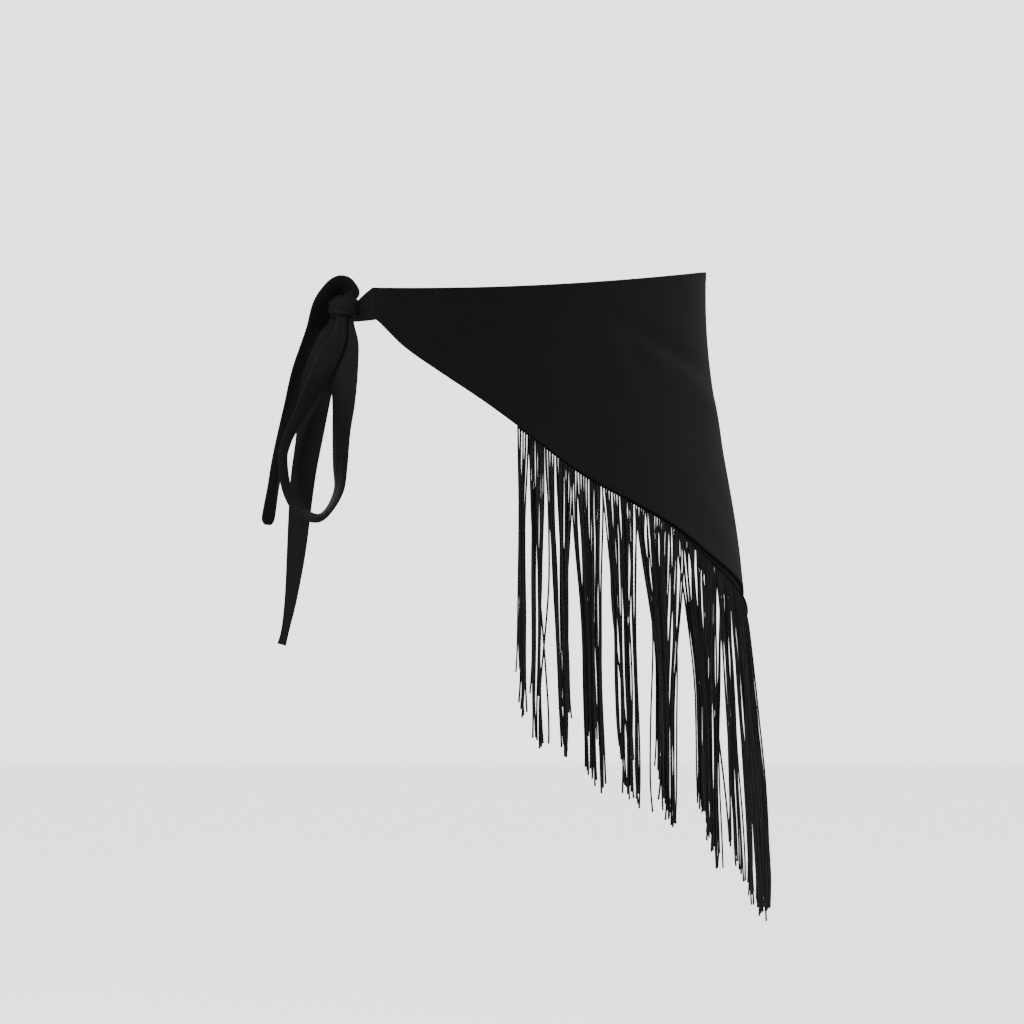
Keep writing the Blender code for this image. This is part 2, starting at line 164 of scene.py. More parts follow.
@dataclass(frozen=True)
class WornForm:
    """The hollow form that the belt keeps: a waist that swells to the hips, and the cloth's cut on it."""

    half_width: float = 0.1347
    half_depth: float = 0.106
    hip_swell: float = 0.028
    swell_start: float = 0.020
    swell_length: float = 0.240
    top_mean: float = -0.0083
    top_side_tilt: float = 0.0056
    top_front_dip: float = -0.0070
    top_saddle: float = -0.0027
    front_end: float = -53.0
    apex: float = 91.5
    back_end: float = 230.0
    cut: tuple[CutRow, ...] = (
        CutRow(0.0, 0.0210),
        CutRow(0.1, 0.0425),
        CutRow(0.2, 0.0610),
        CutRow(0.3, 0.0820),
        CutRow(0.4, 0.1070),
        CutRow(0.5, 0.1340),
        CutRow(0.6, 0.1560),
        CutRow(0.7, 0.1780),
        CutRow(0.8, 0.2030),
        CutRow(0.9, 0.2240),
        CutRow(1.0, 0.2430),
    )
    creases: tuple[Crease, ...] = (
        Crease(14.0, -0.028, 86.0, -0.094, 0.0078, -0.0032),
        Crease(38.0, -0.070, 98.0, -0.122, 0.0160, 0.0022),
        Crease(18.0, -0.026, 40.0, -0.110, 0.0180, 0.0010),
        Crease(164.0, -0.034, 112.0, -0.084, 0.0140, -0.0024),
        Crease(170.0, -0.070, 108.0, -0.126, 0.0160, 0.0020),
        Crease(196.0, -0.040, 182.0, -0.100, 0.0160, 0.0014),
        Crease(26.0, -0.046, 92.0, -0.106, 0.0060, 0.0012),
        Crease(24.0, -0.020, 62.0, -0.118, 0.0080, 0.0006),
        Crease(56.0, -0.150, 84.0, -0.205, 0.0120, -0.0008),
        Crease(-48.0, -0.026, -24.0, -0.034, 0.0045, -0.0008),
        Crease(-50.0, -0.033, -30.0, -0.044, 0.0040, 0.0006),
        Crease(226.0, -0.018, 204.0, -0.024, 0.0045, -0.0008),
        Crease(150.0, -0.090, 122.0, -0.160, 0.0130, -0.0009),
    )
    hem_wave: float = 0.0009
    hem_wave_turns: float = 11.0
    hem_wave_reach: float = 0.050
    hem_drift: float = 1.3
    hem_drift_turns: float = 2.3
    hem_drift_phase: float = 0.7

    def swell(self, z: float) -> float:
        """Returns how far the hips stand out past the waist at a height."""
        share = min(max((-z - self.swell_start) / self.swell_length, 0.0), 1.0)
        return self.hip_swell * (1.0 - math.cos(math.pi * share)) / 2.0

    def top_height(self, angle: float) -> float:
        """Finds the belt's top edge.

        Args:
            angle: The place round the waist.

        Returns:
            The height of the edge there.
        """
        turn = math.radians(angle)
        tilt = self.top_side_tilt * math.sin(turn) + self.top_front_dip * math.cos(turn)
        return self.top_mean + tilt + self.top_saddle * math.cos(2.0 * turn)

    def arc(self, start: float, end: float, steps: int = 90) -> float:
        """Measures round the waist.

        Args:
            start: The angle to start from.
            end: The angle to measure to, on either side of the start.
            steps: How many short stretches are summed.

        Returns:
            The length between the two angles.
        """
        total = 0.0
        for step in range(steps):
            turn = math.radians(start + (end - start) * (step + 0.5) / steps)
            speed = math.hypot(self.half_width * math.cos(turn), self.half_depth * math.sin(turn))
            total += speed * math.radians(abs(end - start)) / steps
        return total

    def cut_height(self, angle: float) -> float:
        """Returns how tall the cut cloth is at an angle."""
        end = self.front_end if angle < self.apex else self.back_end
        return row_between(self.cut, 1.0 - self.arc(angle, self.apex) / self.arc(end, self.apex)).height

    def hem_height(self, angle: float) -> float:
        """Returns the height of the panel's lower edge at an angle."""
        return self.top_height(angle) - self.cut_height(angle)

    def crease_offset(self, angle: float, z: float) -> float:
        """Sums the creases at a place.

        Args:
            angle: The place round the waist.
            z: The height.

        Returns:
            How far the creases push the cloth out there.
        """
        total = 0.0
        for crease in self.creases:
            along = (angle - crease.from_angle) / (crease.to_angle - crease.from_angle)
            if 0.0 < along < 1.0:
                middle_z = crease.from_z + (crease.to_z - crease.from_z) * along
                across = (z - middle_z) / crease.half_width
                total += crease.depth * math.sin(math.pi * along) ** 2 * math.exp(-(across**2))
        return total

    def hem_offset(self, angle: float, above_hem: float) -> float:
        """Makes the shallow waves that the hanging fringe pulls into the cloth above the hem.

        Args:
            angle: The place round the waist.
            above_hem: The height above the hem.

        Returns:
            How far the waves push the cloth out there.
        """
        fade = math.exp(-max(above_hem, 0.0) / self.hem_wave_reach)
        turn = math.radians(angle)
        drift = self.hem_drift * math.sin(self.hem_drift_turns * turn + self.hem_drift_phase)
        return self.hem_wave * fade * math.sin(self.hem_wave_turns * turn + drift)

    def outward(self, angle: float, z: float) -> Vector:
        """Finds the way out of the cloth.

        Args:
            angle: The place round the waist.
            z: The height.

        Returns:
            The level direction away from the wearer.
        """
        turn = math.radians(angle)
        wide, deep = self.half_width + self.swell(z), self.half_depth + self.swell(z)
        return Vector((deep * math.sin(turn), -wide * math.cos(turn), 0.0)).normalized()

    def point(self, angle: float, z: float, out: float = 0.0) -> Vector:
        """Returns a point of the cloth's middle surface.

        Args:
            angle: The place round the waist.
            z: The height.
            out: How far to move away from the wearer.

        Returns:
            The point.
        """
        turn = math.radians(angle)
        wide, deep = self.half_width + self.swell(z), self.half_depth + self.swell(z)
        base = Vector((wide * math.sin(turn), -deep * math.cos(turn), z))
        return base + self.outward(angle, z) * (out + self.crease_offset(angle, z))


FORM = WornForm()


class Nodes:
    """A short hand for laying out one material's or group's node tree."""

    def __init__(self, tree: bpy.types.NodeTree) -> None:
        """Keeps the tree to add to."""
        self.tree = tree

    def add(self, kind: str, **values: object) -> bpy.types.Node:
        """Adds a node.

        Args:
            kind: The node's Blender type.
            values: Node settings, or input sockets by name with spaces as underscores.

        Returns:
            The node.
        """
        node = self.tree.nodes.new(kind)
        for name, value in values.items():
            if hasattr(node, name):
                setattr(node, name, value)
            else:
                node.inputs[name.replace("_", " ")].default_value = value
        return node

    def link(self, source: bpy.types.NodeSocket, target: bpy.types.NodeSocket) -> None:
        """Joins two sockets."""
        self.tree.links.new(source, target)

    def math(self, operation: str, first: object, second: object = 0.0) -> bpy.types.NodeSocket:
        """Adds a sum on sockets or numbers.

        Args:
            operation: The Math node's operation.
            first: Its first value, a socket or a number.
            second: Its second value.

        Returns:
            The output socket.
        """
        node = self.tree.nodes.new("ShaderNodeMath")
        node.operation = operation
        for socket, value in zip(node.inputs, (first, second)):
            if isinstance(value, bpy.types.NodeSocket):
                self.link(value, socket)
            else:
                socket.default_value = value
        return node.outputs[0]


def new_group(name: str, inputs: dict[str, tuple[str, float]], outputs: Sequence[str]) -> bpy.types.NodeTree:
    """Makes an empty shader node group.

    Args:
        name: Its name.
        inputs: Each input's socket type and value.
        outputs: The names of its number outputs.

    Returns:
        The group, with its input and output nodes in place.
    """
    group = bpy.data.node_groups.new(name, "ShaderNodeTree")
    for socket, (kind, value) in inputs.items():
        made = group.interface.new_socket(name=socket, in_out="INPUT", socket_type=kind)
        if kind == "NodeSocketFloat":
            made.default_value = value
    for socket in outputs:
        group.interface.new_socket(name=socket, in_out="OUTPUT", socket_type="NodeSocketFloat")
    group.nodes.new("NodeGroupInput")
    group.nodes.new("NodeGroupOutput")
    return group


def weave_group() -> bpy.types.NodeTree:
    """Makes the plain weave: threads that pass over and under, with slubs and soft wear.

    Returns:
        The group, which reads the cloth's own coordinates in metres.
    """
    group = new_group(
        "plain_weave",
        {
            "Vector": ("NodeSocketVector", 0.0),
            "Thread": ("NodeSocketFloat", 0.0006),
            "Slub": ("NodeSocketFloat", 0.3),
        },
        ("Height", "Mottle"),
    )
    nodes = Nodes(group)
    given, made = group.nodes["Group Input"], group.nodes["Group Output"]
    split = nodes.add("ShaderNodeSeparateXYZ")
    nodes.link(given.outputs["Vector"], split.inputs[0])
    rate = nodes.math("DIVIDE", math.pi, given.outputs["Thread"])
    over = nodes.math("SINE", nodes.math("MULTIPLY", split.outputs["X"], rate))
    under = nodes.math("SINE", nodes.math("MULTIPLY", split.outputs["Y"], rate))
    crossing = nodes.math("MULTIPLY", over, under)
    slubs = nodes.add("ShaderNodeTexNoise", Scale=900.0, Detail=2.0)
    stretch = nodes.add("ShaderNodeMapping", vector_type="POINT")
    stretch.inputs["Scale"].default_value = (0.25, 1.0, 1.0)
    nodes.link(given.outputs["Vector"], stretch.inputs["Vector"])
    nodes.link(stretch.outputs[0], slubs.inputs["Vector"])
    uneven = nodes.math("MULTIPLY", slubs.outputs[0], given.outputs["Slub"])
    nodes.link(nodes.math("ADD", nodes.math("MULTIPLY", crossing, 0.5), uneven), made.inputs["Height"])
    broad = nodes.add("ShaderNodeTexNoise", Scale=42.0, Detail=4.0, Roughness=0.6)
    nodes.link(given.outputs["Vector"], broad.inputs["Vector"])
    nodes.link(broad.outputs[0], made.inputs["Mottle"])
    return group


def twist_group() -> bpy.types.NodeTree:
    """Makes the lay of a chained cord: ridges that wind round it, with a soft change in tone along it.

    Returns:
        The group, which reads a cord's coordinates: round it in X and along it in Y.
    """
    group = new_group(
        "cord_lay",
        {"Vector": ("NodeSocketVector", 0.0), "Turns": ("NodeSocketFloat", 75.0)},
        ("Height", "Mottle"),
    )
    nodes = Nodes(group)
    given, made = group.nodes["Group Input"], group.nodes["Group Output"]
    split = nodes.add("ShaderNodeSeparateXYZ")
    nodes.link(given.outputs["Vector"], split.inputs[0])
    along = nodes.math("MULTIPLY", split.outputs["Y"], given.outputs["Turns"])
    round_it = nodes.math("MULTIPLY", split.outputs["X"], 2.0)
    wound = nodes.math("MULTIPLY", nodes.math("ADD", along, round_it), 2.0 * math.pi)
    ridges = nodes.math("MULTIPLY", nodes.math("SINE", wound), 0.5)
    nodes.link(nodes.math("ADD", ridges, 0.5), made.inputs["Height"])
    place = nodes.add("ShaderNodeTexCoord")
    broad = nodes.add("ShaderNodeTexNoise", Scale=55.0, Detail=3.0)
    nodes.link(place.outputs["Object"], broad.inputs["Vector"])
    nodes.link(broad.outputs[0], made.inputs["Mottle"])
    return group


@dataclass(frozen=True)
class Finish:
    """A cloth, cord or thread, whose pattern sets its tone, roughness and relief.

    The pattern's fineness is one of its inputs and its value: a weave's thread in metres, or a cord's turns
    along its length. The relief is how strongly the pattern stands out and how deep it is.
    """

    name: str
    dark: Tone
    light: Tone
    roughness: tuple[float, float]
    fineness: tuple[str, float]
    relief: tuple[float, float]
    sheen: float
    specular: float
    sheen_roughness: float = 0.4
    sheen_tint: Tone = (1.0, 1.0, 1.0)
    mottle: tuple[float, float] = (0.0, 1.0)
    ior: float = 1.5

    def material(self, pattern: bpy.types.NodeTree) -> bpy.types.Material:
        """Builds the material.

        Args:
            pattern: The weave or the cord lay, which the finishes share.

        Returns:
            The material.
        """
        material = bpy.data.materials.new(self.name)
        material.use_nodes = True
        nodes = Nodes(material.node_tree)
        shader = material.node_tree.nodes["Principled BSDF"]
        shader.inputs["Sheen Weight"].default_value = self.sheen
        shader.inputs["Sheen Roughness"].default_value = self.sheen_roughness
        shader.inputs["Sheen Tint"].default_value = (*self.sheen_tint, 1.0)
        shader.inputs["Specular IOR Level"].default_value = self.specular
        shader.inputs["IOR"].default_value = self.ior
        place = nodes.add("ShaderNodeTexCoord")
        laid = nodes.add("ShaderNodeGroup", node_tree=pattern)
        laid.inputs[self.fineness[0]].default_value = self.fineness[1]
        nodes.link(place.outputs["UV"], laid.inputs["Vector"])
        tone = nodes.add("ShaderNodeMix", data_type="RGBA")
        tone.inputs["A"].default_value = (*self.dark, 1.0)
        tone.inputs["B"].default_value = (*self.light, 1.0)
        worn = nodes.add("ShaderNodeMapRange", From_Min=self.mottle[0], From_Max=self.mottle[1])
        nodes.link(laid.outputs["Mottle"], worn.inputs["Value"])
        nodes.link(worn.outputs[0], tone.inputs["Factor"])
        nodes.link(tone.outputs["Result"], shader.inputs["Base Color"])
        rough = nodes.add("ShaderNodeMapRange", To_Min=self.roughness[0], To_Max=self.roughness[1])
        nodes.link(laid.outputs["Height"], rough.inputs["Value"])
        nodes.link(rough.outputs[0], shader.inputs["Roughness"])
        bump = nodes.add("ShaderNodeBump", Strength=self.relief[0], Distance=self.relief[1])
        nodes.link(laid.outputs["Height"], bump.inputs["Height"])
        nodes.link(bump.outputs[0], shader.inputs["Normal"])
        return material


PANEL_CLOTH = Finish(
    name="matt_panel_cloth",
    dark=(0.0056, 0.0056, 0.0055),
    light=(0.0068, 0.0067, 0.0065),
    roughness=(0.88, 0.98),
    fineness=("Thread", 0.00055),
    relief=(0.35, 0.00010),
    sheen=0.085,
    specular=0.16,
    sheen_roughness=0.55,
    sheen_tint=(1.0, 0.94, 0.88),
    mottle=(0.3, 0.7),
    ior=1.45,
)
BAND_CLOTH = Finish(
    name="soft_band_cloth",
    dark=(0.0048, 0.0049, 0.0050),
    light=(0.0060, 0.0061, 0.0062),
    roughness=(0.66, 0.80),
    fineness=("Thread", 0.00040),
    relief=(0.35, 0.00005),
    sheen=0.09,
    specular=0.30,
    sheen_tint=(1.0, 0.98, 0.95),
    mottle=(0.3, 0.7),
    ior=1.45,
)
FRINGE_CORD = Finish(
    name="chained_fringe_cord",
    dark=(0.0016, 0.0013, 0.0012),
    light=(0.0052, 0.0040, 0.0034),
    roughness=(0.32, 0.47),
    fineness=("Turns", 75.0),
    relief=(0.6, 0.00018),
    sheen=0.02,
    specular=0.26,
)
TAPE_CORD = Finish(
    name="fringe_tape",
    dark=(0.0022, 0.0020, 0.0019),
    light=(0.0034, 0.0031, 0.0029),
    roughness=(0.80, 0.95),
    fineness=("Turns", 3.0),
    relief=(0.6, 0.00012),
    sheen=0.01,
    specular=0.20,
)
SEWING_THREAD = Finish(
    name="sewing_thread",
    dark=(0.0026, 0.0026, 0.0026),
    light=(0.0036, 0.0036, 0.0035),
    roughness=(0.85, 1.00),
    fineness=("Turns", 4.0),
    relief=(0.6, 0.00003),
    sheen=0.0,
    specular=0.50,
)


def deselect_all() -> None:
    """Leaves nothing selected or active."""
    for obj in bpy.context.selected_objects:
        obj.select_set(False)
    bpy.context.view_layer.objects.active = None


def make_active(obj: bpy.types.Object) -> None:
    """Selects one object alone.

    Args:
        obj: The object, which is made the active one too.
    """
    deselect_all()
    obj.select_set(True)
    bpy.context.view_layer.objects.active = obj


def apply_modifiers(obj: bpy.types.Object) -> None:
    """Applies every modifier of an object, in order.

    Args:
        obj: The object.
    """
    make_active(obj)
    for modifier in list(obj.modifiers):
        bpy.ops.object.modifier_apply(modifier=modifier.name)


def dress(
    obj: bpy.types.Object, name: str, material: bpy.types.Material, slot: Slot, replaces: Sequence[str] = ()
) -> bpy.types.Object:
    """Names a finished piece, gives it its finish and lets it ride on the belt.

    Args:
        obj: The piece.
        name: Its name.
        material: Its finish.
        slot: The record's slot for it; not used.
        replaces: The CAD nodes that it stands for.

    Returns:
        The piece.
    """
    obj.name = name
    obj.data.name = name
    obj.data.materials.clear()
    obj.data.materials.append(material)
    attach(obj, "root")
    if replaces:
        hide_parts(*replaces)
    LOG.info("%s: %d faces", name, len(obj.data.polygons))
    return obj


def cloth_sheet(
    columns: int, rows: int, place: Place, scale: tuple[float, float], thickness: float
) -> bpy.types.Object:
    """Makes a cloth wall from a flat grid.

    Args:
        columns: Faces along the cloth.
        rows: Faces across it.
        place: Where a point goes, from its shares along and across.
        scale: The cloth's length and width, for its weave.
        thickness: The wall's thickness.

    Returns:
        The wall, with soft edges.
    """
    deselect_all()
    bpy.ops.mesh.primitive_grid_add(x_subdivisions=columns, y_subdivisions=rows, size=1.0, location=(0, 0, 0))
    obj = bpy.context.active_object
    mesh = obj.data
    shares = [(vert.co.x + 0.5, vert.co.y + 0.5) for vert in mesh.vertices]
    cloth_map = mesh.uv_layers.active.data
    for loop in mesh.loops:
        along, across = shares[loop.vertex_index]
        cloth_map[loop.index].uv = (along * scale[0], across * scale[1])
    for vert, (along, across) in zip(mesh.vertices, shares):
        vert.co = place(along, across)
    wall = obj.modifiers.new("Wall", "SOLIDIFY")
    wall.thickness = thickness
    wall.offset = 0.0
    soften = obj.modifiers.new("Soft edges", "BEVEL")
    soften.width = thickness * EDGE_ROUNDING
    soften.segments = 3
    soften.limit_method = "ANGLE"
    soften.angle_limit = math.radians(EDGE_ANGLE)
    apply_modifiers(obj)
    bpy.ops.object.shade_smooth_by_angle(angle=math.radians(SMOOTH_ANGLE))
    return obj


@dataclass
class Studio:
    """The camera at the photograph's view, soft lights and a pale floor."""

    eye: Vector = field(default_factory=lambda: Vector((-0.008, -2.2, -0.1776)))
    lens: float = 104.48
    sensor: float = 36.0
    near_clip: float = 0.05
    floor_size: float = 14.0
    floor_z: float = -0.95
    floor_tone: float = 0.80
    floor_roughness: float = 0.9
    floor_seen: float = 2.0
    backdrop_seen: float = 2.6
    backdrop_light: float = 0.30
    softboxes: tuple[Softbox, ...] = (
        Softbox("key_softbox", (-1.5, -2.4, 1.3), (0.0, 0.0, -0.15), 1.6, 40.0, (1.0, 0.99, 0.97)),
        Softbox("side_softbox", (2.6, -0.9, 0.5), (0.1, 0.0, -0.15), 1.6, 36.0, (1.0, 0.96, 0.92)),
        Softbox("back_softbox", (-1.6, 2.2, 1.0), (0.0, 0.0, -0.15), 1.8, 16.0, (0.97, 0.98, 1.0)),
        Softbox("overhead_softbox", (0.0, 0.2, 2.4), (0.0, 0.0, -0.15), 2.4, 16.0, (1.0, 1.0, 1.0)),
    )

    def build(self) -> None:
        """Makes the camera, lights, floor and backdrop."""
        self.make_camera()
        for softbox in self.softboxes:
            self.make_light(softbox)
        self.make_floor()
        self.make_backdrop()

    def make_backdrop(self) -> None:
        """Makes the white backdrop, which is brighter to look at than the light that it gives."""
        world = bpy.data.worlds.new("pale_studio")
        world.use_nodes = True
        nodes = Nodes(world.node_tree)
        sky = world.node_tree.nodes["Background"]
        sky.inputs["Color"].default_value = (1.0, 1.0, 1.0, 1.0)
        seen = nodes.add("ShaderNodeLightPath").outputs["Is Camera Ray"]
        extra = nodes.math("MULTIPLY", seen, self.backdrop_seen - self.backdrop_light)
        nodes.link(nodes.math("ADD", extra, self.backdrop_light), sky.inputs["Strength"])
        bpy.context.scene.world = world

    def make_camera(self) -> None:
        """Adds the camera, which looks level towards the belt."""
        deselect_all()
        bpy.ops.object.camera_add(location=self.eye, rotation=(math.radians(90.0), 0.0, 0.0))
        camera = bpy.context.active_object
        camera.name = "photo_camera"
        camera.data.sensor_width = self.sensor
        camera.data.lens = self.lens
        camera.data.clip_start = self.near_clip
        bpy.context.scene.camera = camera

    @staticmethod
    def make_light(softbox: Softbox) -> None:
        """Adds a light.

        Args:
            softbox: What it is like.
        """
        deselect_all()
        bpy.ops.object.light_add(type="AREA", location=softbox.spot)
        light = bpy.context.active_object
        light.name = softbox.name
        aim = Vector(softbox.target) - Vector(softbox.spot)
        light.rotation_euler = aim.to_track_quat("-Z", "Y").to_euler()
        light.data.shape = "SQUARE"
        light.data.size = softbox.size
        light.data.energy = softbox.power
        light.data.color = softbox.tone

    def make_floor(self) -> None:
        """Adds the pale floor."""
        deselect_all()
        bpy.ops.mesh.primitive_plane_add(size=self.floor_size, location=(0.0, 0.0, self.floor_z))
        floor = bpy.context.active_object
        floor.name = "studio_floor"
        material = bpy.data.materials.new("pale_floor")
        material.use_nodes = True
        shader = material.node_tree.nodes["Principled BSDF"]
        shader.inputs["Base Color"].default_value = (self.floor_tone, self.floor_tone, self.floor_tone, 1.0)
        shader.inputs["Roughness"].default_value = self.floor_roughness
        shader.inputs["Emission Color"].default_value = (1.0, 1.0, 1.0, 1.0)
        nodes = Nodes(material.node_tree)
        seen = nodes.add("ShaderNodeLightPath").outputs["Is Camera Ray"]
        nodes.link(nodes.math("MULTIPLY", seen, self.floor_seen), shader.inputs["Emission Strength"])
        floor.data.materials.append(material)


@dataclass
class Panel:
    """The blunt triangle of cloth, with a turned hem and its sewing."""

    columns: int = 280
    rows: int = 56
    thickness: float = 0.0014
    hem_turn: float = 0.0066
    hem_swell: float = 0.00030
    hem_step: float = 0.0016
    stitch_press: float = 0.00026
    stitch_half: float = 0.0007
    stitch_length: float = 0.0023
    stitch_width: float = 0.00036
    stitch_height: float = 0.00026
    stitch_lift: float = 0.00004
    stitch_pitch: float = 0.0033
    stitch_probe: float = 0.35
    sewing_inset: float = 1.0
    edge_rows: int = 12
    edge_reach: float = 0.0105
    edge_limit: float = 0.4

    def across_height(self, height: float, across: float) -> float:
        """Spreads the cloth's rows, which are set close near both edges.

        Args:
            height: How tall the cloth is at the place.
            across: The share of the way from the hem's row to the top row.

        Returns:
            The height above the hem.
        """
        reach = min(self.edge_reach, height * self.edge_limit)
        close = self.edge_rows / self.rows
        if across < close:
            return reach * across / close
        if across > 1.0 - close:
            return height - reach * (1.0 - across) / close
        return reach + (height - 2.0 * reach) * (across - close) / (1.0 - 2.0 * close)

    def edge_relief(self, from_edge: float) -> float:
        """Makes the turned edge and the line that its sewing presses in.

        Args:
            from_edge: The distance from the edge.

        Returns:
            How far the cloth stands out there.
        """
        turned = self.hem_swell * (1.0 - ease((from_edge - self.hem_turn) / self.hem_step))
        pressed = self.stitch_press * math.exp(-(((from_edge - self.hem_turn) / self.stitch_half) ** 2))
        return turned - pressed

    def surface(self, angle: float, above_hem: float, height: float) -> Vector:
        """Finds a point of the worn cloth.

        Args:
            angle: The place round the waist.
            above_hem: The height above the hem.
            height: How tall the cloth is at the place.

        Returns:
            The point, in the middle of the wall.
        """
        z = FORM.hem_height(angle) + above_hem
        relief = self.edge_relief(above_hem) + self.edge_relief(height - above_hem)
        return FORM.point(angle, z, relief + FORM.hem_offset(angle, above_hem))

    def build(self, cloth: bpy.types.Material, thread: bpy.types.Material) -> list[bpy.types.Object]:
        """Builds the panel and its stitches.

        Args:
            cloth: The panel's cloth.
            thread: The sewing thread.

        Returns:
            The cloth, the hem's stitches and the top edge's.
        """
        heights: dict[float, float] = {}

        def place(along: float, across: float) -> Vector:
            """Returns a point of the panel."""
            angle = FORM.front_end + (FORM.back_end - FORM.front_end) * along
            height = heights.setdefault(round(along, 6), FORM.cut_height(angle))
            return self.surface(angle, self.across_height(height, across), height)

        length = FORM.arc(FORM.front_end, FORM.back_end)
        piece = cloth_sheet(self.columns, self.rows, place, (length, FORM.cut[-1].height), self.thickness)
        dress(piece, "panel_cloth", cloth, Slot.BELT_CLOTH, ["panel"])
        return [piece, self.sew("hem_stitches", False, thread), self.sew("top_stitches", True, thread)]

    def stitch_places(self, at_top: bool) -> list[tuple[Vector, Vector, Vector]]:
        """Finds where the stitches of an edge lie.

        Args:
            at_top: True for the top edge and False for the hem.

        Returns:
            Each stitch's middle, the way it runs and the way out of the cloth.
        """
        places = []
        angle = FORM.front_end + self.sewing_inset
        while angle < FORM.back_end - self.sewing_inset:
            ahead = angle + self.stitch_probe
            height = FORM.cut_height(angle)
            ahead_height = height if at_top else FORM.cut_height(ahead)
            above_hem = height - self.hem_turn if at_top else self.hem_turn
            here = self.surface(angle, above_hem, height)
            run = self.surface(ahead, above_hem, ahead_height) - here
            out = FORM.outward(angle, FORM.hem_height(angle) + above_hem)
            middle = here + out * (self.thickness / 2.0 + self.stitch_lift)
            places.append((middle, run.normalized(), out))
            angle += self.stitch_probe * self.stitch_pitch / run.length
        return places

    def sew(self, name: str, at_top: bool, thread: bpy.types.Material) -> bpy.types.Object:
        """Lays a row of stitches along an edge.

        Args:
            name: The row's name.
            at_top: True for the top edge and False for the hem.
            thread: The thread's finish.

        Returns:
            The row.
        """
        deselect_all()
        bpy.ops.mesh.primitive_uv_sphere_add(segments=6, ring_count=4, radius=0.5, location=(0, 0, 0))
        pattern = bpy.context.active_object
        verts = [vert.co.copy() for vert in pattern.data.vertices]
        faces = [tuple(poly.vertices) for poly in pattern.data.polygons]
        whole = bmesh.new()
        for middle, run, out in self.stitch_places(at_top):
            side = out.cross(run)
            made = []
            for co in verts:
                level = middle + run * co.x * self.stitch_length + side * co.y * self.stitch_width
                made.append(whole.verts.new(level + out * co.z * self.stitch_height))
            for face in faces:
                whole.faces.new([made[i] for i in face])
        bmesh.ops.recalc_face_normals(whole, faces=whole.faces[:])
        whole.to_mesh(pattern.data)
        whole.free()
        bpy.ops.object.shade_smooth()
        return dress(pattern, name, thread, Slot.BELT_CLOTH)


@dataclass(frozen=True)
class CordHang:
    """How single cords hang. Fields that end in from, reach, at or half are shares of the cord's length.

    A pull or gather is a share of the way to the middle of the wisp or lock. Drifts, sways and the curl are
    in degrees. The spread of the lengths, the depths and their sway are in metres.
    """

    length_spread: float = 0.0042
    depths: tuple[float, float] = (-0.0018, 0.0020)
    depth_reach: float = 0.10
    wisp_pull: float = 0.40
    wisp_reach: float = 0.32
    lock_reach: float = 0.66
    stray_gather: float = 0.1
    stray_drift: tuple[float, float] = (2.0, 4.0)
    wisp_drift: float = 0.30
    cord_drift: float = 0.12
    drift_from: float = 0.35
    wisp_sway: float = 0.55
    wisp_waves: float = 2.4
    cord_sway: float = 0.16
    cord_waves: float = 4.0
    depth_sway: float = 0.0016
    depth_waves: float = 2.6
    sway_reach: float = 0.15
    curl: float = 0.35
    curl_from: float = 0.86
    tuck_power: int = 6
    knot_swell: float = 0.35
    knot_at: float = 0.985
    knot_half: float = 0.012
    uneven: float = 0.08
    uneven_waves: float = 30.0


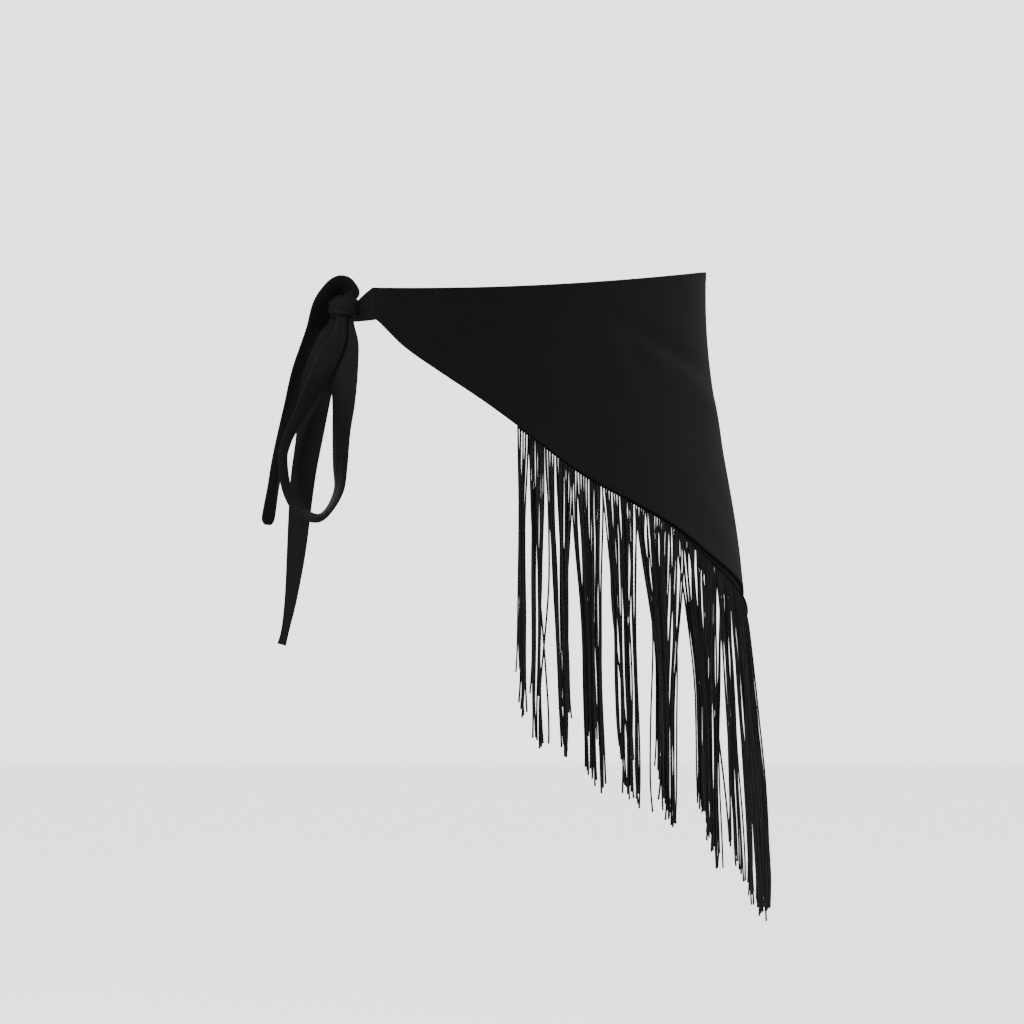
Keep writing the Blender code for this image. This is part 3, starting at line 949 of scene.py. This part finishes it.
@dataclass
class FringeRun:
    """One run of fringe: a tape inside the hem and the cords that hang from it."""

    node: str
    start: float
    end: float
    cords: int
    locks: tuple[Lock, ...]
    seed: int
    behind: bool = False
    length: float = 0.208
    lean: float = 0.105
    radius: float = 0.00066
    rings: int = 26
    tape_sewn: float = 0.0065
    tape_thickness: float = 0.0012
    tape_shows: float = 0.0014
    apex_shows: float = 0.0130
    apex_spread: float = 30.0
    apex_flare: float = 0.0058
    apex_curve: float = 1.5
    tape_depth: float = 0.0022
    tape_past: float = 0.31
    tape_rows: int = 10
    rib_depth: float = 0.00016
    ribs: float = 5.0
    root_tuck: float = 0.0030
    lean_fade: float = 15.0
    wisp_cords: tuple[int, int] = (2, 5)
    stray_share: float = 0.045
    side_tuck: float = 0.0068
    tuck_reach: float = 16.0
    behind_reach: float = 0.115
    behind_limit: float = 74.0
    hang: CordHang = CordHang()

    @property
    def way(self) -> float:
        """Returns 1 for a run towards larger angles and -1 for the other."""
        return 1.0 if self.end > self.start else -1.0

    def flare(self, angle: float, z: float) -> float:
        """Returns how far the tape stands out below the hem, as it does at the low point."""
        return self.apex_flare * (max(FORM.hem_height(angle) - z, 0.0) / self.apex_shows) ** self.apex_curve

    def tape_edge(self, angle: float) -> float:
        """Returns the height of the tape's lower edge, which shows most at the low point."""
        near = math.exp(-(((angle - FORM.apex) / self.apex_spread) ** 2))
        return FORM.hem_height(angle) - self.tape_shows - (self.apex_shows - self.tape_shows) * near

    def tape_point(self, angle: float, z: float, out: float = 0.0) -> Vector:
        """Finds a point of the tape.

        Args:
            angle: The place round the waist.
            z: The height.
            out: How far to move away from the wearer.

        Returns:
            The point, in the middle of the tape's wall.
        """
        ripple = FORM.hem_offset(angle, z - FORM.hem_height(angle))
        return FORM.point(angle, z, out + self.flare(angle, z) - self.tape_depth + ripple)

    def opened(self, edge: float) -> float:
        """Returns the angle from the back middle that hangs behind an angle from the front middle."""
        turn = math.radians(edge)
        return math.degrees(math.asin(math.sin(turn) * (1.0 + self.behind_reach * math.cos(turn))))

    def lock_edges(self) -> list[float]:
        """Returns the angles between which the locks hang, from the run's start to its end.

        Returns:
            One angle more than there are locks. The back's locks hang behind the front's.
        """
        span = abs(self.end - self.start)
        edges = [0.0] + [lock.until * span for lock in self.locks]
        if self.behind:
            last = self.opened(self.behind_limit)
            squeeze = (span - last) / (span - self.behind_limit)
            edges = [
                self.opened(min(edge, self.behind_limit)) + max(edge - self.behind_limit, 0.0) * squeeze
                for edge in edges
            ]
        return [self.start + self.way * edge for edge in edges]

    def build(self, cord: bpy.types.Material, tape: bpy.types.Material) -> list[bpy.types.Object]:
        """Builds the tape and its cords.

        Args:
            cord: The cords' finish.
            tape: The tape's finish.

        Returns:
            The two pieces.
        """
        return [self.make_tape(tape), self.make_cords(cord)]

    def make_tape(self, finish: bpy.types.Material) -> bpy.types.Object:
        """Makes the tape that the cords are chained into, which meets the other run's at the low point.

        Args:
            finish: The tape's finish.

        Returns:
            The tape.
        """
        past_end = self.end + self.way * self.tape_past

        def place(along: float, across: float) -> Vector:
            """Returns a point of the ribbed tape."""
            angle = self.start + (past_end - self.start) * along
            lower, upper = self.tape_edge(angle), FORM.hem_height(angle) + self.tape_sewn
            ribbed = self.rib_depth * math.sin(across * self.ribs * math.pi)
            rib = ribbed * math.sin(along * self.cords * math.pi)
            return self.tape_point(angle, lower + (upper - lower) * across, rib)

        piece = cloth_sheet(self.cords * 2, self.tape_rows, place, (1.0, 1.0), self.tape_thickness)
        return dress(piece, f"{self.node}_tape", finish, Slot.FRINGE_CORD, [self.node])

    def make_cords(self, finish: bpy.types.Material) -> bpy.types.Object:
        """Makes the cords: each is drawn first into a wisp of a few, and then into its lock.

        Args:
            finish: The cords' finish.

        Returns:
            The cords, as one piece.
        """
        chance = random.Random(self.seed)
        data = bpy.data.curves.new(self.node, "CURVE")
        data.dimensions = "3D"
        data.bevel_depth = self.radius
        data.bevel_resolution = 1
        data.use_fill_caps = True
        edges = self.lock_edges()
        step = (self.end - self.start) / (self.cords - 1)
        index = 0
        while index < self.cords:
            count = min(chance.randint(*self.wisp_cords), self.cords - index)
            first, last = self.start + step * index, self.start + step * (index + count - 1)
            middle = (first + last) / 2.0
            lock_index = self.lock_at(middle, edges)
            lock_middle = (edges[lock_index] + edges[lock_index + 1]) / 2.0
            wisp = Wisp(middle, chance.uniform(0.0, NOISE_SPAN), chance.gauss(0.0, self.hang.wisp_drift))
            for cord in range(count):
                angle = self.start + step * (index + cord)
                self.add_cord(data, angle, wisp, lock_middle, self.locks[lock_index], chance)
            index += count
        obj = bpy.data.objects.new(self.node, data)
        bpy.context.scene.collection.objects.link(obj)
        make_active(obj)
        bpy.ops.object.convert(target="MESH")
        bpy.ops.object.shade_smooth()
        return dress(bpy.context.active_object, f"{self.node}_cords", finish, Slot.FRINGE_CORD, [self.node])

    @staticmethod
    def lock_at(angle: float, edges: Sequence[float]) -> int:
        """Finds the lock that an angle falls in.

        Args:
            angle: The place round the waist.
            edges: The angles between which the locks hang.

        Returns:
            The lock's index.
        """
        for index in range(len(edges) - 1):
            if min(edges[index], edges[index + 1]) <= angle <= max(edges[index], edges[index + 1]):
                return index
        return len(edges) - 2

    def add_cord(
        self,
        data: bpy.types.Curve,
        angle: float,
        wisp: Wisp,
        lock_middle: float,
        lock: Lock,
        chance: random.Random,
    ) -> None:
        """Adds one cord to the run's curve.

        Args:
            data: The curve.
            angle: Where the cord leaves the tape.
            wisp: Its wisp.
            lock_middle: The middle of its lock.
            lock: Its lock.
            chance: The run's seeded chance.
        """
        hang = self.hang
        stray = chance.random() < self.stray_share
        length = self.length + lock.drop + chance.gauss(0.0, hang.length_spread)
        phase = chance.uniform(0.0, NOISE_SPAN)
        depth = chance.uniform(*hang.depths)
        drift = wisp.drift + chance.gauss(0.0, hang.cord_drift)
        if stray:
            drift += chance.choice((-1.0, 1.0)) * chance.uniform(*hang.stray_drift)
        curl = hang.curl * chance.gauss(0.0, 1.0)
        gathered = hang.stray_gather if stray else lock.gather
        lean = 0.0 if stray else self.way * lock.lean * ease(abs(angle - self.end) / self.lean_fade)
        tuck = self.side_tuck * math.exp(-(((angle - FORM.apex) / self.tuck_reach) ** 2))
        root = self.tape_edge(angle) + self.root_tuck
        flare, ripple = self.flare(angle, root), FORM.hem_offset(angle, 0.0)
        spline = data.splines.new("POLY")
        spline.points.add(self.rings - 1)
        for ring, point in enumerate(spline.points):
            down = ring / (self.rings - 1)
            fall = length * down
            loose = ease(down / hang.sway_reach)
            wisped = angle + (wisp.middle - angle) * hang.wisp_pull * ease(down / hang.wisp_reach)
            drawn = wisped + (lock_middle - wisped) * gathered * ease(down / hang.lock_reach)
            # The plain numbers in these places only keep one kind of sway apart from the others.
            together = noise.noise(Vector((wisp.phase, down * hang.wisp_waves, 0.0))) * hang.wisp_sway
            alone = noise.noise(Vector((phase, down * hang.cord_waves, 2.0))) * hang.cord_sway
            deeper = noise.noise(Vector((phase, 9.0, down * hang.depth_waves)))
            rough = noise.noise(Vector((phase, down * hang.uneven_waves, 4.0)))
            drifted = drift * ease((down - hang.drift_from) / (1.0 - hang.drift_from))
            tip = max(down - hang.curl_from, 0.0) / (1.0 - hang.curl_from)
            turned = drawn + lean * down + (together + alone) * loose + drifted + curl * tip * tip
            out = self.lean * fall + depth * ease(down / hang.depth_reach)
            out += hang.depth_sway * deeper * loose
            out -= tuck * down**hang.tuck_power
            level = FORM.point(turned, root, out + flare - self.tape_depth + ripple)
            point.co = (level.x, level.y, root - fall, 1.0)
            knotted = hang.knot_swell * math.exp(-(((down - hang.knot_at) / hang.knot_half) ** 2))
            point.radius = 1.0 + knotted + hang.uneven * rough


FRINGE_LOCKS = (
    Lock(0.039, 0.20, -0.008, -0.3),
    Lock(0.085, 0.38, 0.003, -0.4),
    Lock(0.167, 0.54, -0.002, 0.0),
    Lock(0.262, 0.44, 0.005, -0.9),
    Lock(0.376, 0.54, 0.003, -1.6),
    Lock(0.531, 0.80, 0.000, -4.5),
    Lock(0.694, 0.74, 0.000, -6.0),
    Lock(0.722, 0.94, 0.004, -6.0),
    Lock(0.860, 0.06, 0.021, -4.6),
    Lock(1.000, 0.00, 0.009, -4.4),
)


@dataclass
class Band:
    """A hanging band of the bow: a strip of cloth through the sections of a table."""

    name: str
    rows: tuple[BandRow, ...]
    steps: int
    cut: tuple[float, float]
    held: str
    gathered_ends: tuple[bool, bool]
    thickness: float = 0.0013
    across: int = 14
    run_step: float = 0.01
    pleat_depth: float = 0.00045
    pleat_reach: float = 0.13
    pleat_turns: float = 1.9
    pleat_phase: float = 1.1
    slack: float = 0.0006
    slack_across: float = 1.3
    slack_along: float = 9.0
    cup: float = 0.0005
    cup_rest: float = 0.4
    round_end: float = 0.0
    end_narrows: float = 0.86

    def centre(self, along: float) -> Vector:
        """Returns the middle of the band at a share of its length."""
        row = row_between(self.rows, along)
        return Vector((row.x, row.y, row.z)) / MILLIMETRES

    def place(self, along: float, across: float) -> Vector:
        """Finds a point of the band, with gathers near the knot and a slight cup.

        Args:
            along: The share of its length.
            across: The share of its width.

        Returns:
            The point, in the middle of the wall.
        """
        row = row_between(self.rows, along)
        run = self.centre(min(along + self.run_step, 1.0)) - self.centre(max(along - self.run_step, 0.0))
        level = Vector((run.z, 0.0, -run.x)).normalized()
        turn = math.radians(row.turn)
        side = level * math.cos(turn) + Vector((0.0, math.sin(turn), 0.0))
        face = run.normalized().cross(side).normalized()
        share = 2.0 * across - 1.0
        near = 0.0
        if self.gathered_ends[0]:
            near = max(near, 1.0 - ease(along / self.pleat_reach))
        if self.gathered_ends[1]:
            near = max(near, 1.0 - ease((1.0 - along) / self.pleat_reach))
        pleats = self.pleat_depth * near * math.sin(self.pleat_turns * math.pi * share + self.pleat_phase)
        spot = Vector((share * self.slack_across, along * self.slack_along, len(self.name)))
        lift = pleats + self.slack * noise.noise(spot) + self.cup * (share * share - self.cup_rest)
        reach = row.width / (2.0 * MILLIMETRES)
        if self.round_end and along > 1.0 - self.round_end:
            past = (along - 1.0 + self.round_end) / self.round_end
            reach *= math.sqrt(1.0 - self.end_narrows * past * past)
        return self.centre(along) + side * share * reach + face * lift

    def build(self, cloth: bpy.types.Material) -> bpy.types.Object:
        """Builds the band, whose cut sets the scale of its weave.

        Args:
            cloth: The band cloth.

        Returns:
            The band.
        """
        piece = cloth_sheet(self.steps, self.across, self.place, self.cut[::-1], self.thickness)
        dress(piece, f"{self.name}_cloth", cloth, Slot.BAND_CLOTH, [self.name])
        return piece


@dataclass
class Tie:
    """A band from an end of the panel round the waist to the knot."""

    name: str
    start_angle: float
    knot_angle: float
    knot_width: float
    knot_height: float
    gather_rate: float
    steps: int
    cut: tuple[float, float]
    seam_gap: float = 0.0003
    lift: float = 0.0020
    thickness: float = 0.0013
    across: int = 16
    pleats: float = 2.5
    pleat_depth: float = 0.0010
    pleat_phase: float = 0.6
    slack: float = 0.0004
    slack_along: float = 0.12
    slack_across: float = 2.0

    def place(self, along: float, across: float) -> Vector:
        """Finds a point of the tie, which gathers into pleats at the knot.

        Args:
            along: The share of the way from the panel to the knot.
            across: The share of its width.

        Returns:
            The point, in the middle of the wall.
        """
        start_height = FORM.cut[0].height
        way = 1.0 if self.knot_angle > self.start_angle else -1.0
        first = self.start_angle + way * math.degrees(self.seam_gap / FORM.half_depth)
        angle = first + (self.knot_angle - first) * along
        eased = along**self.gather_rate
        height = start_height + (self.knot_width - start_height) * eased
        start_middle = FORM.top_height(angle) - start_height / 2.0
        middle = start_middle + (self.knot_height - start_middle) * eased
        pleat = self.pleat_depth * eased * math.sin(2.0 * math.pi * self.pleats * across + self.pleat_phase)
        slack = self.slack * noise.noise(Vector((angle * self.slack_along, across * self.slack_across, 3.0)))
        return FORM.point(angle, middle + (across - 0.5) * height, self.lift * eased + pleat + slack)

    def build(self, cloth: bpy.types.Material) -> bpy.types.Object:
        """Builds the tie, whose cut sets the scale of its weave.

        Args:
            cloth: The band cloth.

        Returns:
            The tie.
        """
        piece = cloth_sheet(self.steps, self.across, self.place, self.cut[::-1], self.thickness)
        dress(piece, f"{self.name}_cloth", cloth, Slot.BAND_CLOTH, [self.name])
        return piece


@dataclass
class Knot:
    """The knot: a firm lump of folded band with a flat turn of band drawn round it."""

    centre: Vector = field(default_factory=lambda: Vector((-0.1290, -0.0490, -0.0305)))
    half: Vector = field(default_factory=lambda: Vector((0.0102, 0.0078, 0.0094)))
    squareness: float = 0.72
    wrap_half: float = 0.40
    wrap_rise: float = 0.13
    wrap_slant: float = 0.22
    wrap_sharpness: float = 18.0
    fold_depth: float = 0.045
    folds: float = 5.0
    gathers: float = 9.0
    gather_slant: float = 3.0
    segments: int = 72
    ring_count: int = 44
    cloth_scale: tuple[float, float] = (0.055, 0.027)

    def shape(self, unit: Vector) -> Vector:
        """Folds a ball into the knot.

        Args:
            unit: A point of a unit ball.

        Returns:
            Where it goes.
        """
        boxy = [math.copysign(abs(value) ** self.squareness, value) for value in unit]
        slant = unit.z + self.wrap_slant * unit.x
        on_wrap = 1.0 / (1.0 + math.exp((abs(slant) - self.wrap_half) * self.wrap_sharpness))
        ridged = self.fold_depth * math.sin(self.folds * math.pi * slant) * on_wrap
        gather_turn = self.gathers * math.atan2(unit.y, unit.x) + self.gather_slant * unit.z
        gathered = self.fold_depth * math.sin(gather_turn) * (1.0 - on_wrap)
        rise = 1.0 + self.wrap_rise * on_wrap + ridged + gathered
        return self.centre + Vector([share * size * rise for share, size in zip(boxy, self.half)])

    def build(self, cloth: bpy.types.Material) -> bpy.types.Object:
        """Builds the knot.

        Args:
            cloth: The band cloth.

        Returns:
            The knot.
        """
        deselect_all()
        bpy.ops.mesh.primitive_uv_sphere_add(
            segments=self.segments, ring_count=self.ring_count, radius=1.0, location=(0, 0, 0)
        )
        obj = bpy.context.active_object
        cloth_map = obj.data.uv_layers.active.data
        for loop in cloth_map:
            loop.uv = (loop.uv[0] * self.cloth_scale[0], loop.uv[1] * self.cloth_scale[1])
        for vert in obj.data.vertices:
            vert.co = self.shape(vert.co.normalized())
        bpy.ops.object.shade_smooth()
        return dress(obj, "knot_folds", cloth, Slot.BAND_CLOTH, ["knot"])


BOW_LOOP = (
    BandRow(-127.0, -51.0, -32.5, 8.0, 8.0),
    BandRow(-127.2, -56.0, -42.0, 11.0, 8.0),
    BandRow(-127.2, -62.0, -56.0, 18.0, 8.0),
    BandRow(-128.2, -66.0, -72.0, 20.0, 10.0),
    BandRow(-129.0, -69.0, -100.0, 20.0, 34.0),
    BandRow(-130.4, -70.0, -120.0, 20.0, 48.0),
    BandRow(-131.2, -71.0, -144.5, 20.0, 57.0),
    BandRow(-132.2, -72.0, -161.0, 20.0, 67.0),
    BandRow(-138.6, -73.0, -174.8, 20.0, 73.0),
    BandRow(-146.0, -73.5, -181.6, 20.0, 74.0),
    BandRow(-154.7, -73.5, -179.8, 20.0, 74.0),
    BandRow(-163.2, -73.5, -172.4, 20.0, 74.0),
    BandRow(-169.4, -73.5, -159.0, 20.0, 76.0),
    BandRow(-171.6, -73.5, -140.0, 20.0, 77.0),
    BandRow(-169.8, -73.5, -129.5, 20.0, 76.0),
    BandRow(-165.7, -73.5, -119.0, 20.0, 74.0),
    BandRow(-158.0, -73.5, -104.5, 20.0, 68.0),
    BandRow(-149.8, -74.0, -88.5, 19.0, 54.0),
    BandRow(-141.2, -73.0, -71.0, 17.0, 32.0),
    BandRow(-134.0, -68.5, -55.5, 13.0, 18.0),
    BandRow(-131.2, -61.5, -43.5, 9.0, 10.0),
    BandRow(-130.5, -55.0, -35.0, 8.0, 8.0),
)
SHORT_TAIL = (
    BandRow(-126.6, -48.0, -25.5, 9.0, -70.0),
    BandRow(-121.4, -46.6, -19.8, 14.0, -68.0),
    BandRow(-125.7, -45.6, -15.5, 21.0, -60.0),
    BandRow(-131.0, -44.8, -13.8, 22.0, -52.0),
    BandRow(-136.3, -44.5, -16.3, 21.0, -50.0),
    BandRow(-142.4, -43.0, -23.0, 20.0, -50.0),
    BandRow(-145.9, -42.0, -31.0, 20.5, -47.0),
    BandRow(-149.7, -41.0, -45.0, 20.5, -48.0),
    BandRow(-155.3, -40.0, -60.6, 20.5, -52.0),
    BandRow(-162.4, -40.5, -80.0, 19.5, -56.0),
    BandRow(-168.1, -41.5, -101.0, 18.5, -60.0),
    BandRow(-173.7, -42.5, -124.0, 17.2, -62.0),
    BandRow(-178.2, -43.5, -145.0, 15.6, -62.0),
    BandRow(-181.4, -44.5, -162.3, 14.4, -60.0),
    BandRow(-185.4, -45.5, -187.0, 12.0, -44.0),
)
LONG_TAIL = (
    BandRow(-132.5, -47.0, -33.0, 11.0, 4.0),
    BandRow(-134.6, -50.0, -43.0, 14.0, 6.0),
    BandRow(-139.4, -54.5, -54.5, 19.0, 8.0),
    BandRow(-144.8, -59.0, -72.0, 22.5, 6.0),
    BandRow(-149.9, -59.5, -94.0, 23.5, 8.0),
    BandRow(-154.0, -57.5, -123.0, 20.8, 16.0),
    BandRow(-158.2, -55.5, -148.0, 19.0, 14.0),
    BandRow(-160.8, -53.5, -171.0, 17.4, 14.0),
    BandRow(-164.0, -52.5, -207.0, 14.0, 12.0),
    BandRow(-167.6, -52.5, -238.5, 9.6, 12.0),
    BandRow(-171.6, -53.0, -262.0, 6.2, 14.0),
    BandRow(-174.4, -53.5, -273.5, 6.8, 14.0),
)

FRINGE_RUNS = (
    FringeRun("fringe_front", start=-1.5, end=91.20, cords=132, locks=FRINGE_LOCKS, seed=11),
    FringeRun(
        "fringe_back", start=181.5, end=91.80, cords=104, locks=FRINGE_LOCKS, seed=23,
        behind=True, stray_share=0.02,
    ),
)
TIES = (
    Tie(
        "tie_front", start_angle=FORM.front_end, knot_angle=-63.4,
        knot_width=0.0110, knot_height=-0.0332, gather_rate=1.0, steps=24, cut=(0.022, 0.022),
    ),
    Tie(
        "tie_back", start_angle=FORM.back_end - 360.0, knot_angle=-67.5,
        knot_width=0.0100, knot_height=-0.0335, gather_rate=0.55, steps=110, cut=(0.020, 0.128),
    ),
)
BANDS = (
    Band("bow_loop", BOW_LOOP, steps=220, cut=(0.020, 0.350), held="folded", gathered_ends=(True, True)),
    Band(
        "tail_short", SHORT_TAIL, steps=150, cut=(0.020, 0.215), held="hung", gathered_ends=(True, False),
        round_end=0.025,
    ),
    Band("tail_long", LONG_TAIL, steps=150, cut=(0.022, 0.250), held="hung", gathered_ends=(True, False)),
)


def main() -> None:
    """Builds the studio and the belt, piece by piece."""
    logging.basicConfig(level=logging.INFO, format="%(name)s %(message)s")
    Studio().build()
    weave, lay = weave_group(), twist_group()
    panel_cloth, band_cloth = PANEL_CLOTH.material(weave), BAND_CLOTH.material(weave)
    cord, tape, thread = FRINGE_CORD.material(lay), TAPE_CORD.material(lay), SEWING_THREAD.material(lay)

    panel, *stitches = Panel().build(panel_cloth, thread)
    fringe = []
    for run in FRINGE_RUNS:
        fringe += run.build(cord, tape)
    Knot().build(band_cloth)
    for tied in (*TIES, *BANDS):
        tied.build(band_cloth)

    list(stitches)


if __name__ == "__main__":
    main()
